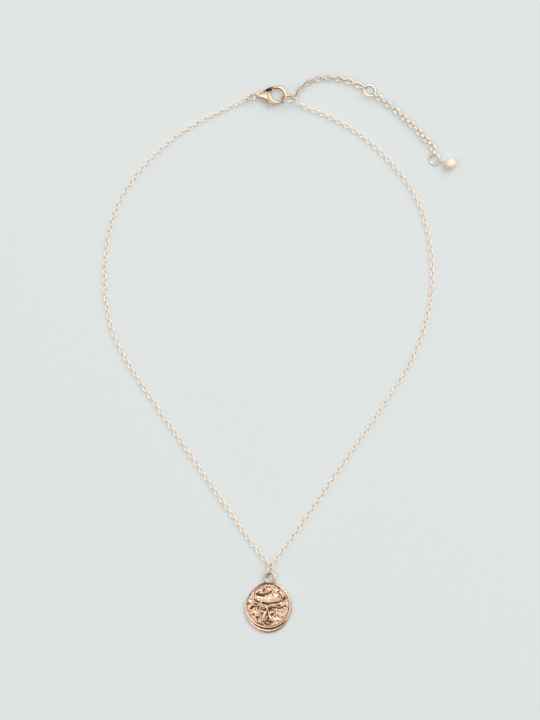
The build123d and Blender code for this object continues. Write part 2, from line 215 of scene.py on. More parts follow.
# Steps round the loop and round its wire
LOOP_TURNS = 72
LOOP_SIDES = 24

# Groove outside the coin: depth, width, the most that it takes of the base's margin, and the margins in
# millimetres between which it gets its depth
GROOVE_DEPTH = 0.42
GROOVE_WIDTH = 0.45
GROOVE_SHARE = 0.6
GROOVE_MARGINS = (0.4, 1.0)
# Groove's profile: share of the way across it and share of its depth
GROOVE_PROFILE = [
    (0.15, 0.6),
    (0.35, 1.0),
    (0.65, 1.0),
    (0.85, 0.6),
    (1.0, 0.0),
]

# Outline of the pendant's base: angle in degrees and share of PENDANT_RADIUS
PENDANT_OUTLINE = [
    (0, 0.912),
    (30, 0.934),
    (60, 0.962),
    (90, 0.992),
    (118, 0.945),
    (146, 0.895),
    (180, 0.930),
    (210, 0.954),
    (240, 0.972),
    (270, 1.000),
    (300, 0.965),
    (332, 0.895),
]

# Base's profile outside the coin: share of the way from the coin to the base's edge, height, and shade
# away from the plain stretch on the left
EDGE_PROFILE = [
    (0.72, BASE_HEIGHT, 0.0),
    (0.77, BASE_HEIGHT - 0.05, 0.30),
    (0.83, BASE_HEIGHT - 0.12, 0.55),
    (0.88, BASE_HEIGHT - 0.12, 0.35),
    (0.92, BASE_HEIGHT - 0.10, 0.05),
    (0.97, BASE_HEIGHT - 0.18, 0.0),
    (1.00, BASE_HEIGHT - 0.40, 0.0),
    (1.00, 0.30, 0.0),
    (0.985, 0.12, 0.0),
    (0.95, 0.03, 0.0),
    (0.88, 0.00, 0.0),
]
# Shares of that way between which the painted shade of the contour sets in
CONTOUR_START = (0.88, 0.97)

# Steps of the base's outline, and how many of them its corners are rounded over
OUTLINE_STEPS = 720
OUTLINE_BLUR = 25

# Raised ridges of the head: height and half width in millimetres, then the line that each follows
RIDGES = [
    # Horns: the broad bar, its lower lip, then the left and the right horn
    (0.45, 0.85, [(-3.8, 3.0), (-2.0, 2.75), (0.5, 2.7), (2.7, 2.9)]),
    (0.90, 0.32, [(-4.3, 4.3), (-4.35, 3.4), (-4.1, 2.8)]),
    (0.66, 0.24, [(-4.1, 2.8), (-3.4, 2.35), (-2.4, 2.1), (-1.0, 2.0), (1.0, 1.95), (2.5, 2.1)]),
    (0.80, 0.28, [(2.5, 2.1), (3.3, 2.25), (3.8, 2.7), (4.0, 3.3)]),
    (0.75, 0.45, [(-4.2, 4.9), (-3.8, 5.5), (-3.1, 5.9), (-2.3, 6.0)]),
    (0.85, 0.38, [(3.7, 5.2), (4.3, 4.6), (4.7, 3.9), (4.8, 3.4)]),
    # Ears
    (0.32, 0.26, [(-4.9, 1.5), (-4.2, 1.7), (-3.5, 1.6)]),
    (0.42, 0.24, [(-5.1, 1.0), (-4.3, 0.55), (-3.4, 0.75)]),
    (0.46, 0.30, [(1.2, 0.95), (2.6, 1.15), (3.9, 1.05), (4.6, 0.55), (5.0, 0.6)]),
    (0.40, 0.20, [(2.2, 0.4), (3.4, 0.22), (4.4, 0.45)]),
    # Face: its left edge, brows, the ridge between the eyes and the cheek
    (0.72, 0.28, [(-2.5, 2.1), (-2.5, 1.0), (-2.8, 0.2), (-2.9, -1.0), (-2.85, -2.2)]),
    (0.46, 0.30, [(-2.3, 0.3), (-1.5, 0.5), (-1.0, 0.2), (-0.5, -0.4)]),
    (0.40, 0.34, [(0.1, 0.4), (0.9, 0.75), (1.8, 0.5)]),
    (0.40, 0.24, [(-0.2, 0.6), (-0.2, -1.0)]),
    (0.36, 0.26, [(1.9, -0.5), (1.95, -1.4), (1.7, -1.9)]),
    # Nose and muzzle
    (0.66, 0.62, [(-1.05, -1.6), (-1.4, -2.3), (-1.7, -3.1)]),
    (0.55, 0.42, [(-1.7, -3.1), (-2.1, -4.3)]),
    (0.78, 0.30, [(0.0, -1.3), (0.15, -2.3), (0.4, -3.0)]),
    (0.90, 0.46, [(0.4, -2.8), (0.75, -3.5)]),
    (0.75, 0.36, [(0.75, -3.5), (1.35, -4.4)]),
    (0.30, 0.24, [(0.25, -4.1), (0.45, -4.4)]),
    (0.28, 0.16, [(-1.0, -5.0), (-0.1, -5.2)]),
    (0.26, 0.36, [(-4.0, -5.8), (-2.0, -6.15), (1.0, -6.2), (3.2, -5.6)]),
    # Hair between the horns
    (0.55, 0.36, [(-2.9, 5.0), (-1.9, 4.9)]),
    (0.30, 0.32, [(-0.9, 5.0), (-0.4, 5.6)]),
    (0.26, 0.34, [(-1.1, 6.2), (-0.9, 7.2)]),
]

# Soft mounds: height, place and half widths
MOUNDS = [
    (0.36, (-0.3, 0.9), (2.2, 1.3)),
    (0.32, (-0.4, -1.5), (1.6, 2.0)),
    (0.26, (-0.4, -4.3), (1.7, 1.1)),
    (0.34, (-2.6, 5.3), (1.7, 0.9)),
    (0.14, (1.8, 4.6), (1.8, 0.9)),
]

# Cut lines: depth, half width and the line that each follows
CUTS = [
    # Hair
    (0.55, 0.20, [(-3.9, 4.6), (-3.4, 4.2), (-2.6, 4.15), (-1.7, 4.0), (-1.2, 4.25)]),
    (0.50, 0.20, [(-0.7, 4.3), (0.0, 4.6), (0.4, 4.9), (1.0, 5.3)]),
    (0.40, 0.16, [(2.7, 3.15), (3.2, 3.4), (3.4, 3.7)]),
    # Under the horns
    (0.40, 0.16, [(-4.75, 2.5), (-4.0, 2.05), (-3.05, 1.8)]),
    (0.50, 0.24, [(-1.9, 1.50), (-0.8, 1.25), (0.0, 1.12)]),
    (0.34, 0.17, [(0.0, 1.12), (1.0, 1.35), (2.0, 1.4), (3.0, 1.55), (3.8, 1.9), (4.6, 1.9), (5.0, 2.4)]),
    (0.50, 0.22, [(5.0, 2.4), (5.6, 3.15)]),
    # Under the ears
    (0.62, 0.26, [(-5.9, -0.4), (-5.2, 0.15)]),
    (0.40, 0.17, [(-5.2, 0.15), (-4.2, 0.2), (-3.4, 0.15), (-3.5, -0.5)]),
    (0.36, 0.17, [(0.9, 0.05), (2.2, -0.05), (3.2, -0.4), (3.9, -0.4), (4.6, 0.0), (5.1, 0.25)]),
    (0.30, 0.20, [(3.0, 0.6), (3.8, 0.62)]),
    (0.34, 0.20, [(-4.6, 1.05), (-3.9, 1.0)]),
    # Eyes, nose and muzzle
    (0.34, 0.22, [(-2.35, -0.65), (-1.6, -0.85), (-1.0, -0.6)]),
    (0.40, 0.15, [(-0.35, -1.2), (-0.5, -2.0), (-0.5, -2.7)]),
    (0.45, 0.24, [(-0.1, -3.4), (-0.3, -3.9), (-0.55, -4.5)]),
    (0.42, 0.24, [(-1.75, -4.95), (-1.2, -4.85), (-0.55, -4.5), (0.1, -4.6), (0.5, -4.95), (1.2, -4.95)]),
    (0.42, 0.20, [(-1.3, -5.35), (-0.5, -5.7), (0.3, -5.7), (0.8, -5.35)]),
    (0.50, 0.22, [(-4.5, -5.0), (-3.8, -5.2), (-3.2, -5.4), (-2.4, -5.6), (-1.8, -5.7)]),
    (0.26, 0.16, [(2.4, -1.2), (2.3, -1.9)]),
]

# Waves of the rough ground: how fast each runs along X and Y, its phase and its height
GROUND_WAVES = [
    (1.9, 0.7, 0.3, 0.030),
    (-1.3, 2.1, 1.1, 0.030),
    (3.1, -2.3, 2.2, 0.024),
    (2.7, 3.4, 0.7, 0.022),
    (-4.4, 1.7, 3.0, 0.018),
    (5.3, 4.1, 1.9, 0.014),
    (-6.2, 5.5, 0.4, 0.012),
]

# Pits: depth, radius and place
PITS = [
    (0.55, 0.28, (-1.05, -0.6)),
    (0.62, 0.50, (0.6, -0.75)),
    (0.36, 0.32, (1.35, -0.95)),
    (0.48, 0.26, (-2.2, -2.0)),
    (0.48, 0.38, (1.3, -2.4)),
    (0.34, 0.28, (2.15, -3.2)),
    (0.44, 0.32, (3.3, -3.0)),
    (0.46, 0.32, (-5.0, -2.5)),
    (0.30, 0.34, (-6.1, -2.7)),
    (0.54, 0.34, (-3.8, -3.5)),
    (0.46, 0.26, (-3.2, -3.4)),
    (0.40, 0.24, (-3.7, -4.4)),
    (0.34, 0.22, (-6.3, -1.4)),
    (0.30, 0.24, (-4.4, -0.8)),
    (0.26, 0.22, (-3.5, -0.6)),
    (0.46, 0.34, (-5.7, -0.3)),
    (0.44, 0.28, (-6.8, 1.1)),
    (0.36, 0.22, (-6.3, 1.3)),
    (0.42, 0.30, (-6.2, 4.1)),
    (0.52, 0.28, (-1.5, 5.7)),
    (0.40, 0.20, (-1.35, 6.1)),
    (0.34, 0.24, (-2.9, 6.6)),
    (0.44, 0.26, (-0.5, 6.75)),
    (0.34, 0.26, (0.35, 6.7)),
    (0.24, 0.22, (-1.8, 6.9)),
    (0.42, 0.26, (3.15, 5.15)),
    (0.32, 0.30, (2.1, 4.8)),
    (0.26, 0.22, (1.6, 5.4)),
    (0.26, 0.20, (1.3, 4.2)),
    (0.34, 0.30, (3.5, 6.35)),
    (0.50, 0.30, (5.55, 3.1)),
    (0.46, 0.30, (5.6, 0.35)),
    (0.38, 0.22, (6.6, -0.4)),
    (0.26, 0.24, (5.3, -0.7)),
    (0.28, 0.24, (6.1, -2.5)),
    (0.24, 0.26, (4.6, -3.4)),
    (0.20, 0.24, (3.2, -4.8)),
    (0.20, 0.30, (4.6, -1.6)),
    (0.22, 0.24, (2.2, 6.3)),
    (0.20, 0.24, (-5.9, 2.6)),
]

# Sharpness of the ridges' sides, share of a cut's depth that is carved, and reach of a pit for its radius
RIDGE_SHARPNESS = 0.7
CUT_SHARE = 0.6
PIT_SPREAD = 1.15
# Roughness of the ground, what the raised forms take from it, and the heights between which they take it
GROUND_ROUGHNESS = 0.8
FORM_SMOOTHING = 0.6
SMOOTH_HEIGHTS = (0.1, 0.5)
# Bend of the ground's waves
WAVE_BEND = 0.8
# Shade of a cut for its depth, and the heights between which the field's shade fades
CUT_SHADE = 1.7
SHADE_HEIGHTS = (0.1, 1.2)

# Floor: half of its side in metres, its colour as red, green and blue from 0 to 255, and how much of that
# colour it gives off, which keeps the shadows soft
FLOOR_HALF = 3.0
FLOOR_COLOUR = (181, 187, 188)
FLOOR_GLOW = 0.45
FLOOR_ROUGHNESS = 0.9
FLOOR_SHINE = 0.1

# Plated metals: colour of most of the surface, of its patches and of the painted shade on its steep sides,
# from 0 to 255
WIRE_TONES = [(252, 232, 208), (238, 204, 172), (168, 130, 104)]
FIRST_RUN_TONES = [(254, 234, 212), (236, 204, 174), (132, 104, 90)]
CLASP_TONES = [(242, 218, 190), (230, 190, 152), (142, 110, 82)]
END_LINK_TONES = [(255, 246, 234), (252, 234, 216), (214, 176, 148)]
BALL_TONES = [(254, 238, 214), (250, 230, 200), (246, 222, 190)]

# Painted shade and painted dark reflections on the clasp's body, inside its bend and in its throat: place,
# inner and outer radius in millimetres, and colour
CLASP_PAINTED_SHADE = [
    ((-0.87, 86.00), 2.40, 2.74, (184, 150, 124)),
    ((-4.1, 87.85), 0.38, 0.75, (110, 88, 62)),
    ((-3.2, 88.15), 0.42, 0.85, (110, 88, 62)),
    ((-2.6, 88.35), 0.38, 0.75, (110, 88, 62)),
]

# Cast pendant: painted shade and colour, from painted highlight on the edges and ridges through the pinker
# ground to the darkest painted shade in the cuts
CAST_TONES = [
    (0.00, (250, 238, 222)),
    (0.16, (215, 197, 166)),
    (0.34, (225, 197, 175)),
    (0.62, (180, 146, 124)),
    (1.00, (112, 82, 68)),
]

# Chain links: shade and colour, from the outer side of the wire to its inner side
CHAIN_TONES = [
    (0.00, (255, 250, 240)),
    (0.55, (255, 240, 222)),
    (1.00, (238, 194, 162)),
]

# How much of a surface points upward where a plated metal's painted shade on its sides starts and ends
# giving way
SIDE_SLOPES = (0.08, 0.52)
# Noise values between which a plated metal's patches give way, and what the noise adds to the painted shade
PATCH_EDGES = (0.25, 0.55)
NOISE_SPREAD = 0.16
NOISE_SHIFT = -0.06
# Least and most that wear makes of a metal's roughness, and how much finer than the wear its dents are
LEAST_WEAR = 0.8
MOST_WEAR = 1.3
RIPPLE_FINENESS = 3
NOISE_DETAIL = 4.0

# Surroundings: height of the view, from the horizon to straight above, and scene-linear colour
SKY = [
    (0.00, (0.34, 0.28, 0.23)),
    (0.18, (0.48, 0.43, 0.38)),
    (0.45, (1.00, 0.98, 0.95)),
    (0.80, (1.05, 1.03, 1.00)),
    (0.93, (0.85, 0.83, 0.81)),
    (1.00, (0.62, 0.61, 0.59)),
]
# Darker warm side of the surroundings, below the picture, and between which directions it gives way
NEAR_SIDE = (0.22, 0.15, 0.10)
NEAR_SIDE_EDGES = (-0.72, -0.22)
SKY_STRENGTH = 0.84

# Square soft lights: name, place and side in metres, watts and colour
LIGHTS = [
    ("key", (1.40, 1.60, 2.80), 2.4, 68.0, (1.0, 0.985, 0.96)),
    ("fill", (-2.0, -0.8, 3.6), 3.2, 32.0, (1.0, 1.0, 1.0)),
]


def linear(colour):
    """Scene-linear colour from red, green and blue between 0 and 255."""
    return tuple(((c / 255 + 0.055) / 1.055) ** 2.4 for c in colour) + (1.0,)


def new_material(name):
    """A material with its nodes, links and main shader."""
    material = bpy.data.materials.new(name)
    material.use_nodes = True
    nodes = material.node_tree.nodes
    return material, nodes, material.node_tree.links, nodes["Principled BSDF"]


def colour_ramp(nodes, stops):
    """A colour ramp with the given positions and scene-linear colours."""
    ramp = nodes.new("ShaderNodeValToRGB")
    elements = ramp.color_ramp.elements
    while len(elements) < len(stops):
        elements.new(0.5)
    for element, (position, colour) in zip(elements, stops):
        element.position = position
        element.color = colour
    return ramp


def rise(nodes, links, value, low, high, interpolation="LINEAR"):
    """A socket that goes from 0 to 1 while a value goes from low to high."""
    step = nodes.new("ShaderNodeMapRange")
    step.interpolation_type = interpolation
    step.inputs["From Min"].default_value = low
    step.inputs["From Max"].default_value = high
    links.new(value, step.inputs["Value"])
    return step.outputs["Result"]


def mixed_colour(nodes, links, colour, factor, linked):
    """A socket with a plain colour where a factor is 0 and a linked colour where it is 1."""
    mix = nodes.new("ShaderNodeMix")
    mix.data_type = "RGBA"
    mix.inputs["A"].default_value = colour
    links.new(factor, mix.inputs["Factor"])
    links.new(linked, mix.inputs["B"])
    return mix.outputs["Result"]


def worn_metal(name, roughness, grain, bump, metallic):
    """Metal with wear in its gloss and a soft uneven surface, and the noise that its colour follows."""
    material, nodes, links, shader = new_material(name)
    shader.inputs["Metallic"].default_value = metallic
    coords = nodes.new("ShaderNodeTexCoord")
    patches = nodes.new("ShaderNodeTexNoise")
    patches.inputs["Scale"].default_value = grain
    patches.inputs["Detail"].default_value = NOISE_DETAIL
    links.new(coords.outputs["Object"], patches.inputs["Vector"])
    wear = nodes.new("ShaderNodeMapRange")
    wear.inputs["To Min"].default_value = roughness * LEAST_WEAR
    wear.inputs["To Max"].default_value = roughness * MOST_WEAR
    links.new(patches.outputs["Fac"], wear.inputs["Value"])
    links.new(wear.outputs["Result"], shader.inputs["Roughness"])
    ripple = nodes.new("ShaderNodeTexNoise")
    ripple.inputs["Scale"].default_value = grain * RIPPLE_FINENESS
    links.new(coords.outputs["Object"], ripple.inputs["Vector"])
    unevenness = nodes.new("ShaderNodeBump")
    unevenness.inputs["Strength"].default_value = 1.0
    unevenness.inputs["Distance"].default_value = bump
    links.new(ripple.outputs["Fac"], unevenness.inputs["Height"])
    links.new(unevenness.outputs["Normal"], shader.inputs["Normal"])
    return material, coords, patches


def plated_metal(name, tones, roughness, grain, bump, metallic=1.0):
    """Plated metal: a warm colour that deepens in patches, with painted shade on its steep sides."""
    material, coords, patches = worn_metal(name, roughness, grain, bump, metallic)
    nodes = material.node_tree.nodes
    links = material.node_tree.links
    light, deep, side = (linear(tone) for tone in tones)
    tint = colour_ramp(nodes, list(zip(PATCH_EDGES, (deep, light))))
    links.new(patches.outputs["Fac"], tint.inputs["Fac"])
    # Painted shade: the side colour takes over where the surface faces sideways instead of up
    facing = nodes.new("ShaderNodeSeparateXYZ")
    links.new(coords.outputs["Normal"], facing.inputs["Vector"])
    upward = rise(nodes, links, facing.outputs["Z"], *SIDE_SLOPES)
    surface = mixed_colour(nodes, links, side, upward, tint.outputs["Color"])
    links.new(surface, nodes["Principled BSDF"].inputs["Base Color"])
    return material


def paint_shade_patch(material, place, inner, outer, colour):
    """A patch of painted shade round a place on a metal, seen from above: full at one radius, gone at
    another.
    """
    nodes = material.node_tree.nodes
    links = material.node_tree.links
    base_colour = nodes["Principled BSDF"].inputs["Base Color"]
    plain = base_colour.links[0].from_socket
    coords = nodes.new("ShaderNodeTexCoord")
    flat = nodes.new("ShaderNodeVectorMath")
    flat.operation = "MULTIPLY"
    flat.inputs[1].default_value = (1, 1, 0)
    links.new(coords.outputs["Object"], flat.inputs[0])
    apart = nodes.new("ShaderNodeVectorMath")
    apart.operation = "DISTANCE"
    apart.inputs[1].default_value = (place[0] * MM, place[1] * MM, 0)
    links.new(flat.outputs["Vector"], apart.inputs[0])
    fade = rise(nodes, links, apart.outputs["Value"], inner * MM, outer * MM, "SMOOTHSTEP")
    links.new(mixed_colour(nodes, links, linear(colour), fade, plain), base_colour)


def shaded_metal(name, tones, roughness, grain, bump, metallic=1.0):
    """Metal that takes its colour from the painted shade stored on its points, from painted highlight to
    the darkest painted shade.
    """
    material, _, patches = worn_metal(name, roughness, grain, bump, metallic)
    nodes = material.node_tree.nodes
    links = material.node_tree.links
    # Painted shade and painted highlight, read from each point
    painted_shade = nodes.new("ShaderNodeAttribute")
    painted_shade.attribute_name = "painted_shade"
    spread = nodes.new("ShaderNodeMath")
    spread.operation = "MULTIPLY_ADD"
    spread.inputs[1].default_value = NOISE_SPREAD
    spread.inputs[2].default_value = NOISE_SHIFT
    depth = nodes.new("ShaderNodeMath")
    tone = colour_ramp(nodes, [(shade, linear(colour)) for shade, colour in tones])
    links.new(patches.outputs["Fac"], spread.inputs[0])
    links.new(painted_shade.outputs["Fac"], depth.inputs[0])
    links.new(spread.outputs["Value"], depth.inputs[1])
    links.new(depth.outputs["Value"], tone.inputs["Fac"])
    links.new(tone.outputs["Color"], nodes["Principled BSDF"].inputs["Base Color"])
    return material


def add_mesh(name, points, faces, material):
    """One smooth mesh that rides on the necklace."""
    data = bpy.data.meshes.new(name)
    data.from_pydata(points, [], faces)
    data.polygons.foreach_set("use_smooth", [True] * len(data.polygons))
    data.materials.append(material)
    data.update()
    piece = bpy.data.objects.new(name, data)
    bpy.context.collection.objects.link(piece)
    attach(piece, BODY)
    return piece


def add_shade(piece, values):
    """Give each of a mesh's points its painted shade, from 0 for a painted highlight to 1 for the darkest
    painted shade.
    """
    shade = piece.data.attributes.new("painted_shade", "FLOAT", "POINT")
    shade.data.foreach_set("value", values)


def route_points(points):
    """Points in metres along the smooth curve that has the route's points as its control points."""
    curve = bpy.data.curves.new("route", "CURVE")
    curve.dimensions = "3D"
    curve.resolution_u = ROUTE_STEPS
    spline = curve.splines.new("NURBS")
    spline.points.add(len(points) - 1)
    for control, place in zip(spline.points, points):
        control.co = (*(Vector(place) * MM), 1.0)
    spline.order_u = 3
    spline.use_endpoint_u = True
    holder = bpy.data.objects.new("route", curve)
    line = bpy.data.meshes.new_from_object(holder)
    found = np.array([v.co for v in line.vertices])
    bpy.data.meshes.remove(line)
    bpy.data.objects.remove(holder)
    bpy.data.curves.remove(curve)
    return found


def band_faces(turns, sides, closed=True):
    """Faces between rings of points, given ring by ring, and from the last to the first where closed."""
    faces = []
    for i in range(turns if closed else turns - 1):
        for k in range(sides):
            after = (i + 1) % turns
            turn = (k + 1) % sides
            faces.append((i * sides + k, after * sides + k, after * sides + turn, i * sides + turn))
    return faces


def link_line():
    """Centre line of a link, two half circles joined by straight sides, with its outward directions."""
    bend = (LINK_WIDTH - LINK_WIRE) / 2
    run = (LINK_LENGTH - LINK_WIDTH) / 2
    half = LINK_STEPS // 2
    line = []
    for side in (1, -1):
        for k in range(half + 1):
            a = (k / half - 0.5) * pi
            line.append((side * (run + bend * cos(a)), side * bend * sin(a), side * cos(a), side * sin(a)))
    return line


def link_shape():
    """Points and faces of one link that lies flat along X, and how far to its inner side each point is."""
    line = link_line()
    points = []
    inner = []
    for x, y, out_x, out_y in line:
        for k in range(LINK_SIDES):
            a = 2 * pi * k / LINK_SIDES
            out = LINK_WIRE / 2 * cos(a)
            points.append((x + out_x * out, y + out_y * out, LINK_WIRE / 2 * sin(a)))
            inner.append((1 - cos(a)) / 2)
    return np.array(points), np.array(band_faces(len(line), LINK_SIDES)), inner


def route_place(line, travelled, distance):
    """Place at a distance along a route."""
    return np.array([np.interp(distance, travelled, line[:, axis]) for axis in range(3)])


def link_place(line, travelled, distance, roll):
    """Place of a link at a distance along a route, and its three directions at a roll about the route."""
    behind = route_place(line, travelled, distance - LINK_PITCH / 4)
    ahead = route_place(line, travelled, distance + LINK_PITCH / 4)
    along = (ahead - behind) / np.linalg.norm(ahead - behind)
    side = np.cross((0, 0, 1), along)
    side /= np.linalg.norm(side)
    top = np.cross(along, side)
    across = side * cos(roll) + top * sin(roll)
    up = top * cos(roll) - side * sin(roll)
    return route_place(line, travelled, distance), np.array([along, across, up])


def add_chain(name, points, twist, material):
    """Links along a route, each a quarter turn from the one before, that stand for the CAD's tube."""
    line = route_points(points)
    runs = np.linalg.norm(np.diff(line, axis=0), axis=1)
    travelled = np.concatenate([[0], np.cumsum(runs)])
    lead = LINK_PITCH - LINK_LENGTH / 2 - TUBE_GAP
    steps = round((travelled[-1] - 2 * lead) / LINK_PITCH)
    pitch = (travelled[-1] - 2 * lead) / steps
    shares, rolls = zip(*twist)
    shape, faces, inner = link_shape()
    all_points = []
    all_faces = []
    for i in range(steps + 1):
        slow = np.interp((i + 1) / (steps + 2), shares, rolls)
        roll = radians(90 * (i + 1) + slow + TWIST_JITTER * sin(JITTER_PACE * i))
        here, directions = link_place(line, travelled, lead + i * pitch, roll)
        all_points.append(here + shape @ directions)
        all_faces.append(faces + len(shape) * i)
    piece = add_mesh(
        f"{name}_links",
        np.concatenate(all_points).tolist(),
        np.concatenate(all_faces).tolist(),
        material,
    )
    # Painted shade, darkest on the inner side of each link's wire
    add_shade(piece, inner * (steps + 1))
    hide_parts(name)


def distance_to_line(x, y, line):
    """Distance of each place from a line of points, in millimetres."""
    nearest = np.full(x.shape, 1e9)
    for (ax, ay), (bx, by) in zip(line, line[1:]):
        dx = bx - ax
        dy = by - ay
        t = np.clip(((x - ax) * dx + (y - ay) * dy) / (dx * dx + dy * dy), 0, 1)
        nearest = np.minimum(nearest, np.hypot(x - ax - t * dx, y - ay - t * dy))
    return nearest


def smooth_step(low, high, value):
    """0 at low and before it, 1 at high and past it, and a soft change between. Low may be the larger."""
    t = np.clip((value - low) / (high - low), 0, 1)
    return t * t * (3 - 2 * t)


def soft_band(value, middle, half_width, power=2):
    """1 at a middle value and 0 well past a half width from it. A higher power makes the middle flatter."""
    return np.exp(-((np.abs(value - middle) / half_width) ** power))


def rough_ground(x, y):
    """Uneven cast ground: a few crossed waves that never repeat on the coin."""
    total = np.zeros(x.shape)
    for a, b, phase, height in GROUND_WAVES:
        total += height * np.sin(a * x + b * y + phase + WAVE_BEND * np.sin(b * x - a * y))
    return total


def raised_form(x, y):
    """Height of the head's mounds and ridges."""
    mounds = np.zeros(x.shape)
    for height, (cx, cy), (wx, wy) in MOUNDS:
        mounds += height * np.exp(-(((x - cx) / wx) ** 2 + ((y - cy) / wy) ** 2))
    ridges = np.zeros(x.shape)
    for height, half_width, line in RIDGES:
        apart = distance_to_line(x, y, line) / half_width
        ridges = np.maximum(ridges, height * np.exp(-(apart ** 4) * RIDGE_SHARPNESS))
    return mounds + ridges


def cut_depth(x, y):
    """Depth of the cut lines and pits."""
    cuts = np.zeros(x.shape)
    for depth, half_width, line in CUTS:
        cuts = np.maximum(cuts, depth * soft_band(distance_to_line(x, y, line), 0, half_width))
    for depth, radius, (cx, cy) in PITS:
        cuts = np.maximum(cuts, depth * soft_band(np.hypot(x - cx, y - cy), 0, PIT_SPREAD * radius))
    return cuts


def relief(x, y):
    """Height of the coin's face above its field, and its shade, at places about the pendant's place."""
    form = raised_form(x, y)
    cuts = cut_depth(x, y)
    roughness = GROUND_ROUGHNESS - FORM_SMOOTHING * smooth_step(*SMOOTH_HEIGHTS, form)
    height = form + rough_ground(x, y) * roughness - CUT_SHARE * cuts
    shade = CUT_SHADE * cuts + FIELD_SHADE * (1 - smooth_step(*SHADE_HEIGHTS, form))
    return height, shade


def around(angle, middle, half_width):
    """1 near a direction and 0 well away from it, both in degrees, for an angle in radians."""
    apart = (np.degrees(angle) - middle + 180) % 360 - 180
    return soft_band(apart, 0, half_width, power=4)


def about_coin(angle, radius):
    """Places at a radius about the coin's centre."""
    return COIN_CENTRE[0] + radius * np.cos(angle), COIN_CENTRE[1] + radius * np.sin(angle)


def outline_radius(angle):
    """Radius of the base about the pendant's place, at angles in radians."""
    turns = [radians(a) for a, _ in PENDANT_OUTLINE]
    shares = [share for _, share in PENDANT_OUTLINE]
    fine = np.linspace(0, 2 * pi, OUTLINE_STEPS + 1)
    table = np.interp(fine, turns + [2 * pi], shares + shares[:1])
    window = np.hanning(OUTLINE_BLUR)
    padded = np.concatenate([table[-OUTLINE_BLUR - 1:-1], table, table[1:OUTLINE_BLUR + 1]])
    soft = np.convolve(padded, window / window.sum(), "same")[OUTLINE_BLUR:-OUTLINE_BLUR]
    return PENDANT_RADIUS * np.interp(angle % (2 * pi), fine, soft)


def edge_radius(angle):
    """Radius of the base's edge about the coin's centre, in each direction."""
    reach = np.linspace(0, 2 * PENDANT_RADIUS, REACH_STEPS + 1)
    edge = np.zeros(len(angle))
    for k, a in enumerate(angle):
        x, y = about_coin(a, reach)
        inside = np.hypot(x, y) < outline_radius(np.arctan2(y, x))
        edge[k] = reach[inside].max()
    return edge


def face_height(angle, inner, form):
    """Height of the coin's face: the relief inside a worn rim, a rounded edge and the lip at the top."""
    rim = soft_band(inner, *RIM_BAND, power=4) * (1 - RIM_WEAR * around(angle, *LOW_RIM))
    wobble = sum(height * np.sin(count * angle + phase) for count, phase, height in RIM_WAVES)
    z = FIELD_HEIGHT + form * smooth_step(*RELIEF_START, inner)
    z += (RIM_HEIGHT - FIELD_HEIGHT + wobble) * rim
    z -= EDGE_DROP * smooth_step(*EDGE_ROUND, inner)
    return z + (LIP_HEIGHT - z) * around(angle, *LIP) * smooth_step(*LIP_RISE, inner)


def face_shade(angle, inner, relief_shade):
    """Painted shade of the coin's face: cuts and ground, the rim's foot, the lip and a line in the low rim.
    """
    shade = relief_shade * smooth_step(*RELIEF_SHADE_START, inner)
    shade += FOOT_SHADE * soft_band(inner, *RIM_FOOT)
    shade += LIP_SHADE * around(angle, *LIP) * smooth_step(*LIP_DARK, inner)
    shade += LOW_RIM_LINE_SHADE * around(angle, *LOW_RIM) * soft_band(inner, *LOW_RIM_PAINTED_LINE)
    return shade


def face_rings(angle, coin):
    """Rings of the coin's face: places, heights and shades."""
    for share in np.linspace(FIRST_RING, 1, FACE_RINGS):
        x, y = about_coin(angle, coin * share)
        form, relief_shade = relief(x, y)
        inner = np.maximum(coin, COIN_RADIUS) - coin * share
        yield x, y, face_height(angle, inner, form), face_shade(angle, inner, relief_shade)


def base_rings(angle, coin, margin):
    """Rings outside the coin: a narrow groove, deep where the base is wide at the bottom, and the base."""
    band = BAND_SHADE + LIP_FRONT_SHADE * around(angle, *LIP)
    width = np.minimum(GROOVE_WIDTH, GROOVE_SHARE * margin)
    cut = around(angle, *GROOVE) * smooth_step(*GROOVE_MARGINS, margin)
    for share, drop in GROOVE_PROFILE:
        x, y = about_coin(angle, coin + width * share)
        yield x, y, BASE_HEIGHT - GROOVE_DEPTH * cut * drop, GROOVE_SHADE * drop * cut + band
    contour = CONTOUR_SHADE * around(angle, *CONTOUR)
    dented = 1 - around(angle, *PLAIN_EDGE)
    for share, height, dark in EDGE_PROFILE:
        x, y = about_coin(angle, coin + margin * share)
        shade = band + dark * dented + contour * smooth_step(*CONTOUR_START, share)
        yield x, y, np.full(len(angle), height), shade


def pendant_shape():
    """Points, faces and shades of the pendant's closed surface: an uneven base with a struck coin on it."""
    angle = np.linspace(0, 2 * pi, PENDANT_TURNS, endpoint=False)
    edge = edge_radius(angle)
    coin = np.minimum(COIN_RADIUS + LIP_REACH * around(angle, *LIP), edge - LEAST_MARGIN)
    rings = [*face_rings(angle, coin), *base_rings(angle, coin, edge - coin)]
    points = []
    shades = []
    for x, y, z, shade in rings:
        points += zip((x + PENDANT_PLACE[0]) * MM, (y + PENDANT_PLACE[1]) * MM, np.maximum(z, 0) * MM)
        shades += np.clip(shade, 0, 1).tolist()
    middle = tuple(range(PENDANT_TURNS))
    underside = tuple(range(len(points) - 1, len(points) - PENDANT_TURNS - 1, -1))
    faces = [middle, *band_faces(len(rings), PENDANT_TURNS, closed=False), underside]
    return points, faces, shades


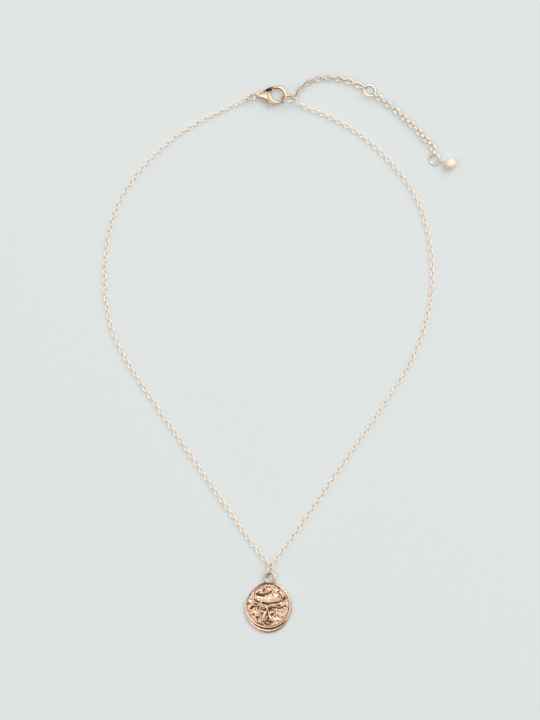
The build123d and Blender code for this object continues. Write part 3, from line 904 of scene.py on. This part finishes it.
def loop_shape():
    """Points, faces and shades of the pendant's soldered loop, darkest inside its top."""
    points = []
    shades = []
    for i in range(LOOP_TURNS):
        a = 2 * pi * i / LOOP_TURNS
        top = around(a, *LOOP_TOP)
        for k in range(LOOP_SIDES):
            b = 2 * pi * k / LOOP_SIDES
            r = LOOP_RADIUS + LOOP_WIRE * cos(b)
            x = PENDANT_PLACE[0] + LOOP_CENTRE[0] + r * cos(a)
            y = PENDANT_PLACE[1] + LOOP_CENTRE[1] + r * sin(a)
            points.append((x * MM, y * MM, (LOOP_CENTRE[2] + LOOP_WIRE * sin(b)) * MM))
            shades.append(LOOP_SHADE + LOOP_INNER_SHADE * top * (1 - cos(b)) / 2)
    return points, band_faces(LOOP_TURNS, LOOP_SIDES), shades


def add_pendant(material):
    """The cast pendant and its loop."""
    points, faces, shades = pendant_shape()
    cast = add_mesh("pendant_cast", points, faces, material)
    add_shade(cast, shades)
    points, faces, shades = loop_shape()
    loop = add_mesh("pendant_loop", points, faces, material)
    add_shade(loop, shades)
    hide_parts("pendant")


def add_floor():
    """Plain pale floor under the necklace."""
    near = -FLOOR_HALF
    far = FLOOR_HALF
    data = bpy.data.meshes.new("floor")
    data.from_pydata([(near, near, 0), (far, near, 0), (far, far, 0), (near, far, 0)], [], [(0, 1, 2, 3)])
    material, _, _, shader = new_material("floor")
    shader.inputs["Base Color"].default_value = linear(FLOOR_COLOUR)
    shader.inputs["Emission Color"].default_value = linear(FLOOR_COLOUR)
    shader.inputs["Emission Strength"].default_value = FLOOR_GLOW
    shader.inputs["Roughness"].default_value = FLOOR_ROUGHNESS
    shader.inputs["Specular IOR Level"].default_value = FLOOR_SHINE
    data.materials.append(material)
    floor = bpy.data.objects.new("floor", data)
    bpy.context.collection.objects.link(floor)
    floor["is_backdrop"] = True


def add_light(name, place, size, watts, colour):
    """A square soft light that points at the middle of the floor."""
    data = bpy.data.lights.new(name, "AREA")
    data.size = size
    data.energy = watts
    data.color = colour
    light = bpy.data.objects.new(name, data)
    light.location = place
    light.rotation_euler = (Vector(place) * -1).to_track_quat("-Z", "Y").to_euler()
    bpy.context.collection.objects.link(light)


def add_world():
    """Studio surroundings: pale above, darker towards the horizon, so that metal shows light and dark."""
    world = bpy.data.worlds.new("studio")
    world.use_nodes = True
    nodes = world.node_tree.nodes
    links = world.node_tree.links
    coords = nodes.new("ShaderNodeTexCoord")
    parts = nodes.new("ShaderNodeSeparateXYZ")
    links.new(coords.outputs["Generated"], parts.inputs["Vector"])
    sky = colour_ramp(nodes, [(height, (*colour, 1.0)) for height, colour in SKY])
    links.new(parts.outputs["Z"], sky.inputs["Fac"])
    beyond = rise(nodes, links, parts.outputs["Y"], *NEAR_SIDE_EDGES, "SMOOTHSTEP")
    room = mixed_colour(nodes, links, (*NEAR_SIDE, 1.0), beyond, sky.outputs["Color"])
    links.new(room, nodes["Background"].inputs["Color"])
    nodes["Background"].inputs["Strength"].default_value = SKY_STRENGTH
    bpy.context.scene.world = world


def add_camera():
    """Camera straight above the necklace."""
    data = bpy.data.cameras.new("camera")
    data.sensor_fit = "VERTICAL"
    data.sensor_height = SENSOR_HEIGHT
    data.lens = SENSOR_HEIGHT * CAMERA_HEIGHT / FRAME_HEIGHT
    camera = bpy.data.objects.new("camera", data)
    camera.location = (*FRAME_CENTRE, CAMERA_HEIGHT)
    bpy.context.collection.objects.link(camera)
    bpy.context.scene.camera = camera


# Metals: how rough each is, how fine its grain is and how far in metres its dents go
wire_gold = plated_metal("wire_gold", WIRE_TONES, roughness=0.34, grain=900, bump=0.00002)
# The first run of the extender: the wire metal with a darker painted shade on its steep sides
first_run_gold = plated_metal("first_run_gold", FIRST_RUN_TONES, roughness=0.30, grain=900, bump=0.00002)
cast_gold = shaded_metal("cast_gold", CAST_TONES, roughness=0.34, grain=700, bump=0.00005)
link_gold = shaded_metal("link_gold", CHAIN_TONES, roughness=0.45, grain=900, bump=0.00001, metallic=0.25)
clasp_gold = plated_metal("clasp_gold", CLASP_TONES, roughness=0.26, grain=500, bump=0.00001)
body_gold_painted_shade = plated_metal("clasp_body_painted_shade", CLASP_TONES, roughness=0.26, grain=500, bump=0.00001)
# Painted shade and painted dark reflections on the clasp's body
for place, inner, outer, colour in CLASP_PAINTED_SHADE:
    paint_shade_patch(body_gold_painted_shade, place, inner, outer, colour)
chain_gold = plated_metal(
    "chain_gold", END_LINK_TONES, roughness=0.45, grain=900, bump=0.00001, metallic=0.35
)
ball_gold = plated_metal("ball_gold", BALL_TONES, roughness=0.55, grain=400, bump=0.000005, metallic=0.42)

# Metals of the nodes that aren't of plain wire
NODE_METALS = {
    "clasp_body": body_gold_painted_shade,
    "clasp_lever": clasp_gold,
    "clasp_pin": clasp_gold,
    "drop_ball": ball_gold,
    "chain_link_clasp": chain_gold,
    "chain_link_catch": chain_gold,
    "chain_link_pendant_left": chain_gold,
    "chain_link_pendant_right": chain_gold,
}
for number in range(1, FIRST_RUN_LINKS + 1):
    NODE_METALS[f"extender_link_{number:02d}"] = first_run_gold
for name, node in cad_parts.items():
    node.data.materials.clear()
    node.data.materials.append(NODE_METALS.get(name, wire_gold))

for name, (points, twist) in CHAINS.items():
    add_chain(name, points, twist, link_gold)
add_pendant(cast_gold)

add_floor()
add_world()
for light in LIGHTS:
    add_light(*light)
add_camera()
bpy.context.scene.view_settings.view_transform = "Standard"

[[list(corner) for corner in box] for box in (cad_box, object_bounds())]
